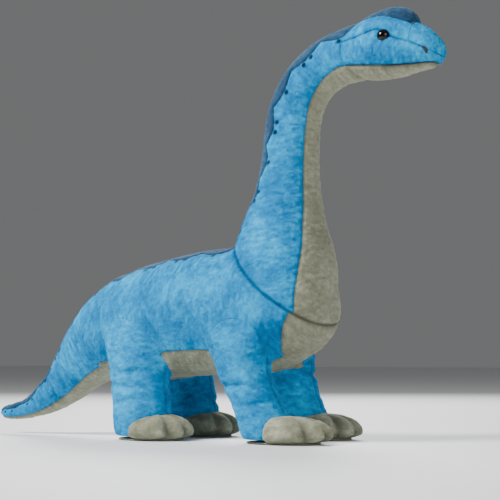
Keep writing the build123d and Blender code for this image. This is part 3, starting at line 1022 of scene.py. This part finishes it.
@dataclass(frozen=True)
class Plush:
    """Short plush: patches where the pile leans, painted light and shade on its tufts, single fibres
    and a soft sheen.
    """

    name: str
    deep: Colour
    middle: Colour
    light: Colour
    # the colour towards which painted shade darkens seams, folds and creases
    crease: Colour
    dot: Colour
    sheen: Colour
    sheen_weight: float
    patch_strength: float = 1.0

    def paint(self) -> bpy.types.Material:
        """Build the material.

        The colour runs from deep through middle to light with broad patches, combed streaks,
        painted light and shade on the raised tufts and fibre noise added up; painted shade darkens
        the creases, and printed dots are darker.
        """
        paint = Paint(self.name)
        place = paint.place()
        patches = paint.cloud(place, 24.0, 3.0, 0.55)
        blotches = paint.cloud(place, 95.0, 3.0, 0.6)
        stretched = paint.node("ShaderNodeMapping", {}, {
            "Vector": place, "Scale": (150.0, 150.0, 420.0)})
        combed = paint.cloud(stretched, 1.0, 3.0, 0.65)
        fibres = paint.cloud(place, 1500.0, 2.0, 0.7)
        # painted light and shade: lighter on the raised pile, darker in its hollows
        tuft = paint.value("tuft")
        tone = (patches - 0.5) * (1.0 * self.patch_strength) + (blotches - 0.5) * 0.1 \
            + (combed - 0.5) * 0.1 + (tuft - 0.5) * 0.62 + (fibres - 0.5) * 0.7 + 0.5
        colour = paint.ramp(tone.clamped(), [(0.08, self.deep), (0.5, self.middle),
                                             (0.92, self.light)])
        # painted shade: seams, folds and creases are mixed towards the darker crease colour
        colour = paint.mix(paint.value("crease") * 0.72, colour, self.crease)
        colour = paint.mix(paint.value("dots"), colour, self.dot)
        height = fibres * 0.4 + combed * 0.5 + blotches * 0.4
        paint.set(Base_Color=colour, Roughness=0.92, Sheen_Weight=self.sheen_weight,
                  Sheen_Roughness=0.38, Sheen_Tint=(*self.sheen, 1.0),
                  Normal=paint.bump(height, 0.0015, 0.8))
        paint.shader.inputs["Specular IOR Level"].default_value = 0.12
        return paint.material


@dataclass(frozen=True)
class Eye:
    """A glossy safety eye: a dark brown ring in black, under a clear coat."""

    name: str

    def paint(self) -> bpy.types.Material:
        """Build the material: brown inside a ring, by the stored distance from the middle."""
        paint = Paint(self.name)
        ring = paint.value("ring")
        flecks = paint.cloud(paint.place(), 900.0, 3.0)
        brown = paint.ramp(ring + (flecks - 0.5) * 0.1, [
            (0.0, (0.001, 0.001, 0.001)), (0.40, (0.001, 0.001, 0.001)),
            (0.52, (0.012, 0.004, 0.002)), (0.66, (0.006, 0.002, 0.001)),
            (0.78, (0.001, 0.001, 0.001))])
        paint.set(Base_Color=brown, Roughness=paint.cloud(paint.place(), 400.0) * 0.05 + 0.04,
                  Coat_Weight=0.2, Coat_Roughness=0.02, IOR=1.33)
        return paint.material


@dataclass(frozen=True)
class Thread:
    """Shiny embroidery thread, with its fine twist as bump."""

    name: str
    colour: Colour

    def paint(self) -> bpy.types.Material:
        """Build the material."""
        paint = Paint(self.name)
        place = paint.place()
        twist = paint.cloud(place, 1600.0, 2.0)
        colour = paint.mix(twist, self.colour, tuple(min(1.0, 2.2 * c) for c in self.colour))
        paint.set(Base_Color=colour, Roughness=0.6, Sheen_Weight=0.3, Sheen_Roughness=0.4,
                  Normal=paint.bump(twist, 0.0004, 0.6))
        return paint.material


@dataclass(frozen=True)
class Fibre:
    """White stuffing, or the matte plastic of a washer."""

    name: str
    colour: Colour
    scale: float

    def paint(self) -> bpy.types.Material:
        """Build the material."""
        paint = Paint(self.name)
        fluff = paint.cloud(paint.place(), self.scale, 5.0, 0.7)
        colour = paint.mix(fluff, tuple(0.8 * c for c in self.colour), self.colour)
        paint.set(Base_Color=colour, Roughness=0.85, Normal=paint.bump(fluff, 0.002, 0.7))
        return paint.material


# ------------------------------------------------------------------ small sewn parts
@dataclass
class ToeCap:
    """A foot's grey toe cap: a low dome with four rounded lobes and creases between them."""

    leg: Leg
    height: float = 25.5
    half_width: float = 30.5
    ahead: float = 12.0
    behind: float = 12.0
    creases: tuple[float, ...] = (-0.66, -0.04, 0.6)

    def surface(self) -> Surface:
        """Turn a rounded profile about the foot, with its reach scaled by the lobes.

        The profile is r = cos(a)^e, h = low + rise * sin(a); the outline is an ellipse, longer
        in front, and each crease scales both in by a bell across its direction.
        """
        rows, around = 44, 168
        a = np.linspace(-0.5 * np.pi, 0.5 * np.pi, rows)[1:-1, None]
        turn = np.linspace(-np.pi, np.pi, around, endpoint=False)[None]
        above = a > 0
        share = np.cos(a) ** np.where(above, 0.72, 0.42)
        middle_height = 8.5
        rise = np.where(above, self.height - middle_height, middle_height - 0.9) * np.sin(a)
        front = np.cos(turn) > 0
        length = np.where(front, self.leg.reach, self.behind)
        valley = np.zeros_like(turn)
        for crease in self.creases:
            valley = valley + bell(wrapped(turn - crease), 0.15)
        lobes = np.zeros_like(turn)
        edges = np.array([-1.75, *self.creases, 1.7])
        for first, last in zip(edges[:-1], edges[1:]):
            middle, width = 0.5 * (first + last), 0.5 * (last - first)
            inside = np.abs(wrapped(turn - middle)) < width
            lobes = lobes + inside * np.cos(0.5 * np.pi * wrapped(turn - middle) / width)
        depth = smooth_step(-1.35, -0.3, a) * smooth_step(1.5, 0.75, a)
        scale = 1.0 - 0.11 * valley * depth + 0.075 * lobes * depth * np.cos(turn).clip(0)
        x = self.leg.foot[0] + self.ahead + length * share * np.cos(turn) * scale
        y = self.leg.foot[1] + self.half_width * share * np.sin(turn) * scale
        z = middle_height + rise * (1.0 - 0.14 * valley * depth * above) + 0.0 * turn
        rings = np.stack([x, y, z], axis=-1)
        made = ring_surface(rings)
        made.points[-2:, 2] = [0.9, self.height]
        normal = made.normals()
        p = made.points
        fluff = 0.45 * layered_noise(p, 7.0, 21, 2) + 0.26 * noise(p, 1.9, 6)
        made.points = p + normal * (fluff * smooth_step(1.0, 5.0, p[:, 2]))[:, None]
        # painted shade darkens the creases between the lobes, and painted light and shade follows the
        # pile's fluff
        whole = np.concatenate([np.broadcast_to(valley * depth, x.shape).ravel(), [0.0, 0.0]])
        made.values = {"crease": np.clip(0.75 * whole, 0, 1), "dots": np.zeros(len(p)),
                       "tuft": np.clip(0.5 + fluff, 0, 1)}
        made.chart = np.stack([p[:, 0], p[:, 1]], axis=1)
        return made


def outward(made: Surface) -> Surface:
    """Turn a closed surface's faces round if they point inwards, by its signed volume."""
    p = made.points - made.points.mean(axis=0)
    q = p[made.faces]
    volume = (np.cross(q[:, 1], q[:, 2]) * q[:, 0]).sum() + (
        np.cross(q[:, 2], q[:, 3]) * q[:, 0]).sum()
    if volume < 0:
        turned = made.faces[:, [0, 3, 2, 1]]
        triangle = made.faces[:, 3] == made.faces[:, 0]
        turned[triangle] = made.faces[triangle][:, [0, 2, 1, 0]]
        made.faces = turned
    return made


@dataclass
class Sole:
    """The flat pad under a foot, an ellipse with a rolled edge."""

    leg: Leg

    def surface(self) -> Surface:
        """A disc of superellipse profile over the node's own box."""
        low, high = (np.array(c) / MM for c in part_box(f"{self.leg.name}_sole"))
        middle, half = 0.5 * (low + high), 0.5 * (high - low) * [0.93, 0.88, 0.8]
        middle[2] = half[2]
        a = np.linspace(-0.5 * np.pi, 0.5 * np.pi, 26)[1:-1, None]
        turn = np.linspace(0.0, 2.0 * np.pi, 96, endpoint=False)[None]
        share = np.cos(a) ** 0.22
        rise = np.sign(np.sin(a)) * np.abs(np.sin(a)) ** 0.7
        rings = np.stack([middle[0] + half[0] * share * np.cos(turn),
                          middle[1] + half[1] * share * np.sin(turn),
                          middle[2] + half[2] * rise + 0.0 * turn], axis=-1)
        made = outward(ring_surface(rings))
        made.values = {"crease": np.zeros(len(made.points)), "dots": np.zeros(len(made.points)),
                       "tuft": np.full(len(made.points), 0.5)}
        return made


@dataclass
class Crest:
    """The stuffed navy crest on the crown."""

    tube: Tube = field(default_factory=lambda: Tube(
        [(168, 387, 3.5, 4), (174, 387, 6.5, 7), (182, 387, 9.5, 10),
         (192, 387, 12, 12), (203, 387, 12.8, 16.5), (212, 386, 12.8, 15.5),
         (219, 384.5, 11, 13), (223.5, 382.5, 8, 9.5), (226, 380.5, 4, 4.5)],
        upright=True, samples=90))

    def surface(self) -> Surface:
        """The crest's carried profile, with pile on it."""
        made = outward(self.tube.surface(0.0, around=110, skip=1))
        p = made.points
        fluff = 0.35 * layered_noise(p, 6.0, 31, 2) + 0.26 * noise(p, 1.9, 7)
        made.points = p + made.normals() * fluff[:, None]
        # no painted crease shade here; painted light and shade follows the pile's fluff
        made.values = {"crease": np.zeros(len(p)), "dots": np.zeros(len(p)),
                       "tuft": np.clip(0.5 + fluff, 0, 1)}
        made.chart = np.stack([p[:, 0], p[:, 1]], axis=1)
        return made


class Probe:
    """Finds places on the finished skin."""

    def __init__(self, surface: Surface) -> None:
        """Build a search tree over the skin's faces."""
        self.tree = BVHTree.FromPolygons(surface.points.tolist(), surface.faces.tolist())

    def drop(self, start: Sequence[float], towards: Sequence[float]) -> Array:
        """Where a line from start first meets the skin, or start itself if it misses."""
        hit = self.tree.ray_cast(Vector(start), Vector(towards).normalized())[0]
        return np.array(hit if hit is not None else start)


    def kept_inside(self, points: Array, margin: float) -> Array:
        """Move the points that come nearer to the skin than the margin back inside it."""
        found = [self.tree.find_nearest(Vector(p)) for p in points]
        place = np.array([f[0] for f in found])
        normal = np.array([f[1] for f in found])
        depth = -((points - place) * normal).sum(axis=1)
        return np.where((depth < margin)[:, None], place - normal * margin, points)


@dataclass
class EyeDome:
    """A safety eye's visible dome, seated in its socket."""

    side: Side
    probe: Probe
    radius: float = 5.9
    rise: float = 4.9
    tilt: float = 0.21

    def surface(self) -> Surface:
        """Turn a low dome, r = R sin(t), h = rise cos(t), about the eye's axis."""
        s = self.side.value
        axis = np.array([0.10, s * np.cos(self.tilt), np.sin(self.tilt)])
        axis /= np.linalg.norm(axis)
        target = EYE_PLACE * [1.0, float(s), 1.0]
        seat = self.probe.drop(target + 30.0 * axis, -axis)
        seat = seat - 0.9 * axis
        first = np.cross([0.0, 0.0, 1.0], axis)
        first /= np.linalg.norm(first)
        second = np.cross(axis, first)
        t = np.linspace(0.0, 0.5 * np.pi, 22)[1:, None]
        turn = np.linspace(0.0, 2.0 * np.pi, 64, endpoint=False)[None]
        r, h = self.radius * np.sin(t), self.rise * np.cos(t) + 0.0 * turn
        back = np.array([[0.92 * self.radius], [0.5 * self.radius]])
        r = np.concatenate([r, back])
        h = np.concatenate([h, np.full((1, 64), -1.6), np.full((1, 64), -2.2)])
        flat = r[..., None] * (np.cos(turn)[..., None] * first + np.sin(turn)[..., None] * second)
        made = outward(ring_surface(seat + flat + h[..., None] * axis))
        ring = np.linalg.norm(np.cross(made.points - seat, axis), axis=1) / self.radius
        made.values = {"ring": ring}
        return made


@dataclass
class Nostril:
    """An embroidered comma on the muzzle, in satin stitch."""

    side: Side
    probe: Probe

    def surface(self) -> Surface:
        """A teardrop patch laid on the skin, raised in rows of thread.

        Along the patch the half width is w(u) = 2.5 * sqrt(1 - u^2) * (1 - 0.45 u), and its
        height is a low dome with a fine ripple for the stitches.
        """
        s = float(self.side.value)
        u = np.linspace(-1.0, 1.0, 46)[:, None]
        v = np.linspace(-1.0, 1.0, 17)[None]
        half = 1.75 * np.sqrt(np.maximum(1.0 - u**2, 0.002)) * (1.0 - 0.4 * u)
        along = 4.6 * u
        bend = 1.5 * (1.0 - u**2)
        across = half * v + bend
        x = 242.6 - 0.62 * along + 0.78 * across
        z = 354.2 + 0.78 * along + 0.62 * across
        rings = np.stack([x, 0 * x, z], axis=-1)
        cover = 0.95 * np.sqrt(np.maximum((1.0 - v**2) * (1.0 - u**2), 0.0)) ** 0.6
        cover = cover * (1.0 + 0.10 * np.sin(along * 9.0)) + 0.0 * x
        places = np.empty_like(rings)
        for i, j in np.ndindex(x.shape):
            hit = self.probe.drop((x[i, j], s * 40.0, z[i, j]), (-0.2, -s, 0.0))
            places[i, j] = hit + np.array([0.3, s * 0.9, 0.1]) * (cover[i, j] - 0.25)
        count, wide = x.shape
        i, j = np.meshgrid(np.arange(count - 1), np.arange(wide - 1), indexing="ij")
        faces = np.stack([i * wide + j, i * wide + j + 1, (i + 1) * wide + j + 1,
                          (i + 1) * wide + j], axis=-1).reshape(-1, 4)
        made = Surface(places.reshape(-1, 3), faces)
        if (made.normals()[:, 1] * s).mean() < 0:
            made.faces = made.faces[:, ::-1].copy()
        return made


def cord_surface(path: Array, radius: float, around: int = 10) -> Surface:
    """A thin closed thread: a circle carried along a path, tapering at both ends."""
    along = np.gradient(path, axis=0)
    along /= np.linalg.norm(along, axis=1)[:, None]
    side = np.cross(along, [0.0, 0.0, 1.0])
    side /= np.maximum(np.linalg.norm(side, axis=1), 1e-6)[:, None]
    up = np.cross(side, along)
    turn = np.linspace(0.0, 2.0 * np.pi, around, endpoint=False)
    share = np.linspace(0.0, 1.0, len(path))
    taper = radius * np.sqrt(smooth_step(0.0, 0.06, share) * smooth_step(1.0, 0.94, share) + 0.04)
    rings = path[:, None] + taper[:, None, None] * (
        np.cos(turn)[None, :, None] * side[:, None] + np.sin(turn)[None, :, None] * up[:, None])
    return outward(ring_surface(rings))


@dataclass
class Mouth:
    """The dark stitched line of the mouth, from one cheek round the snout to the other."""

    radius: float = 0.7
    lift: float = 0.35

    def surface(self, skin: Surface, fields: dict[str, Array]) -> Surface:
        """Run a thread along the chin panel's seam.

        The seam's points are sorted by their turn about a place in the throat, averaged over
        small steps of turn, eased, and lifted a little off the cloth.
        """
        p = skin.points
        near = (np.abs(fields["belly"]) < 0.35) & (p[:, 2] > 310.0) & (p[:, 0] > 180.0)
        p, normal = p[near], skin.normals()[near]
        turn = np.arctan2(p[:, 1], p[:, 0] - 176.0)
        steps = np.linspace(-1.40, 1.40, 75)
        path = [(p + self.lift * normal)[np.abs(turn - step) < 0.03].mean(axis=0)
                for step in steps if (np.abs(turn - step) < 0.03).sum() > 2]
        return cord_surface(eased_path(np.array(path), 240), self.radius)


def eased_path(path: Array, count: int) -> Array:
    """Even steps along a path, with its small corners rounded."""
    steps = np.linalg.norm(np.diff(path, axis=0), axis=1)
    at = np.concatenate([[0.0], np.cumsum(steps)])
    where = np.linspace(0.0, at[-1], count)
    even = np.stack([np.interp(where, at, path[:, i]) for i in range(3)], axis=1)
    for _ in range(3):
        even[1:-1] = 0.25 * even[:-2] + 0.5 * even[1:-1] + 0.25 * even[2:]
    return even


# ------------------------------------------------------------------ the toy
@dataclass
class Toy:
    """Builds every piece, dresses it and rides it on its body, or only bakes its place where that body
    has a seam in BLENDS.
    """

    skin: Skin = field(default_factory=Skin)
    thickness: float = 1.6
    fill_inset: float = 8.0
    finishes: dict[str, bpy.types.Material] = field(default_factory=dict)

    def dress(self, piece: bpy.types.Object, finish: str,
              nodes: Sequence[str] = ()) -> bpy.types.Object:
        """Give a piece its finish, and let it stand for its CAD nodes."""
        piece.data.materials.append(self.finishes[finish])
        if nodes:
            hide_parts(*nodes)
        LOG.info("%s: %d faces, %s", piece.name, len(piece.data.polygons), finish)
        return piece

    def paint(self) -> None:
        """Make every finish once."""
        # each plush's fourth colour is the painted shade for its seams, folds and creases
        blue = Plush("blue_plush", (0.0, 0.075, 0.230), (0.0, 0.215, 0.490),
                     (0.008, 0.480, 0.850), (0.0, 0.045, 0.140), (0.002, 0.012, 0.035),
                     (0.05, 0.60, 1.0), 0.25)
        grey = Plush("grey_plush", (0.120, 0.122, 0.080), (0.235, 0.242, 0.168),
                     (0.430, 0.445, 0.325), (0.060, 0.060, 0.040), (0.05, 0.05, 0.05),
                     (0.93, 0.97, 0.82), 0.25, 0.5)
        navy = Plush("navy_plush", (0.006, 0.022, 0.050), (0.014, 0.052, 0.115),
                     (0.040, 0.130, 0.235), (0.003, 0.012, 0.030), (0.01, 0.02, 0.05),
                     (0.35, 0.60, 0.85), 0.45)
        self.finishes = {
            "blue": blue.paint(), "grey": grey.paint(), "navy": navy.paint(),
            "eye": Eye("glossy_eye").paint(),
            "thread": Thread("dark_thread", (0.008, 0.010, 0.018)).paint(),
            "fibre": Fibre("white_fibre", (0.86, 0.86, 0.84), 260.0).paint(),
            "washer": Fibre("washer_plastic", (0.80, 0.80, 0.78), 1200.0).paint()}

    def sew(self, surface: Surface, fields: dict[str, Array]) -> None:
        """Cut the skin into its panels and make each one a piece of cloth with a thickness."""
        for panel in Pattern(surface, fields).panels():
            if not panel.chosen.any():
                LOG.warning("%s has no faces", panel.node)
                continue
            piece = surface.part(panel.chosen).to_object(f"{panel.node}_fabric")
            self.dress(piece, panel.finish, [panel.node])
            cloth = piece.modifiers.new("Fabric thickness", "SOLIDIFY")
            cloth.thickness = self.thickness * MM
            cloth.offset = -1.0
            join_over(piece, panel.body)

    def stuff(self, probe: Probe) -> None:
        """Make the fibre fill of each part, a little smaller than its skin."""
        neck_end = int(np.nonzero(NECK.centre[:, 0] > 172.0)[0][0])
        fills = [("torso_stuffing", TORSO, 0, TORSO.samples, "root"),
                 ("tail_stuffing", TAIL, 6, TAIL.samples, "tail"),
                 ("neck_stuffing", NECK, 12, neck_end, "neck"),
                 ("head_stuffing", NECK, neck_end - 4, NECK.samples - 10, "head")]
        for node, tube, first, last, body in fills:
            part = Tube(tube.stations, tube.upright)
            part.centre, part.half = tube.centre[first:last], tube.half[first:last]
            part.up, part.samples = tube.up[first:last], last - first
            inset = self.fill_inset if node != "tail_stuffing" else 4.5
            self.fill(outward(part.surface(inset, 48, 3)), node, body, probe)
        for leg in LEGS:
            self.fill(outward(leg.surface(self.fill_inset)), f"{leg.name}_leg_stuffing", "root",
                      probe)

    def fill(self, made: Surface, node: str, body: str, probe: Probe) -> None:
        """Finish one fill, kept inside the skin."""
        p = made.points
        p = p + made.normals() * (0.8 * layered_noise(p, 9.0, 41, 2))[:, None]
        made.points = probe.kept_inside(p, self.thickness + 2.0)
        piece = self.dress(made.to_object(f"{node}_fibre"), "fibre", [node])
        join_over(piece, body)

    def feet(self) -> None:
        """Make the toe caps and the soles."""
        for leg in LEGS:
            behind = 12.0 if leg.name.startswith("front") else 24.0
            cap = outward(ToeCap(leg, behind=behind).surface()).to_object(f"{leg.name}_toe_cap_fabric")
            self.dress(cap, "grey", [f"{leg.name}_toe_cap"])
            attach(cap, "root")
            sole = Sole(leg).surface().to_object(f"{leg.name}_sole_fabric")
            self.dress(sole, "grey", [f"{leg.name}_sole"])
            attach(sole, "root")

    def face(self, surface: Surface, fields: dict[str, Array]) -> None:
        """Make the crest, the eyes, the nostrils and the mouth line."""
        probe = Probe(surface.part(surface.points[surface.faces[:, 0], 2] > 300.0))
        crest = self.dress(Crest().surface().to_object("crest_fabric"), "navy",
                           ["crest"])
        join_over(crest, "head")
        for side in Side:
            eye = EyeDome(side, probe).surface().to_object(f"eye_{side.word}_dome")
            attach(self.dress(eye, "eye", [f"eye_{side.word}"]), "head")
            nostril = Nostril(side, probe).surface().to_object(f"nostril_{side.word}_stitching")
            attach(self.dress(nostril, "thread", [f"nostril_{side.word}"]), "head")
            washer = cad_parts[f"eye_washer_{side.word}"]
            washer.data.materials.clear()
            washer.data.materials.append(self.finishes["washer"])
        mouth = Mouth().surface(surface, fields).to_object("mouth_stitching")
        self.dress(mouth, "thread")
        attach(mouth, "head")

    def build(self) -> None:
        """Make the whole toy."""
        self.paint()
        surface, fields = Dress(self.skin).make()
        self.sew(surface, fields)
        self.stuff(Probe(surface))
        self.feet()
        self.face(surface, fields)


# ------------------------------------------------------------------ the studio
@dataclass
class Studio:
    """A pale floor, soft lights and the camera."""

    aim: tuple[float, float, float] = (48.0, 0.0, 181.5)
    azimuth: float = 30.0
    distance: float = 1500.0
    camera_height: float = 80.0
    half_view: float = 240.0
    pale: Colour = (0.80, 0.81, 0.82)

    def camera(self) -> None:
        """Stand the camera to the animal's right front, low, looking slightly up."""
        turn = np.radians(self.azimuth)
        eye = Vector(metres((self.aim[0] + self.distance * np.sin(turn),
                             -self.distance * np.cos(turn), self.camera_height)))
        data = bpy.data.cameras.new("camera")
        camera = bpy.data.objects.new("camera", data)
        bpy.context.scene.collection.objects.link(camera)
        look = Vector(metres(self.aim)) - eye
        camera.location = eye
        camera.rotation_euler = look.to_track_quat("-Z", "Y").to_euler()
        data.sensor_width = 36.0
        data.lens = 0.5 * data.sensor_width * look.length / (self.half_view * MM)
        bpy.context.scene.camera = camera

    def lamp(self, name: str, place: Sequence[float], size: float, power: float,
             colour: Colour) -> None:
        """A square soft light that faces the toy."""
        data = bpy.data.lights.new(name, "AREA")
        data.shape, data.size, data.energy, data.color = "SQUARE", size, power, colour
        lamp = bpy.data.objects.new(name, data)
        lamp.location = metres(place)
        look = Vector(metres(self.aim)) - lamp.location
        lamp.rotation_euler = look.to_track_quat("-Z", "Y").to_euler()
        bpy.context.scene.collection.objects.link(lamp)

    def set_up(self) -> None:
        """Lay the floor, hang the lights and light the room evenly."""
        span = np.array([[-1, -1, 0], [1, -1, 0], [1, 1, 0], [-1, 1, 0]], float) * 9000.0
        floor = Surface(span, np.array([[0, 1, 2, 3]])).to_object("floor")
        paint = Paint("pale_floor")
        paint.set(Base_Color=(*self.pale, 1.0), Roughness=0.6)
        floor.data.materials.append(paint.material)
        self.lamp("key", (-650, -950, 1300), 0.55, 52.0, (1.0, 0.98, 0.95))
        self.lamp("fill", (1500, -900, 900), 0.9, 13.0, (0.92, 0.96, 1.0))
        self.lamp("rim", (-600, 1200, 1000), 0.7, 30.0, (1.0, 1.0, 1.0))
        world = bpy.data.worlds.new("soft_room")
        world.use_nodes = True
        back = world.node_tree.nodes["Background"]
        back.inputs[0].default_value = (*self.pale, 1.0)
        back.inputs[1].default_value = 0.2
        bpy.context.scene.world = world
        self.camera()


def main() -> None:
    """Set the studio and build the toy."""
    logging.basicConfig(level=logging.INFO, format="%(name)s %(message)s")
    Studio().set_up()
    Toy().build()


if __name__ == "__main__":
    main()
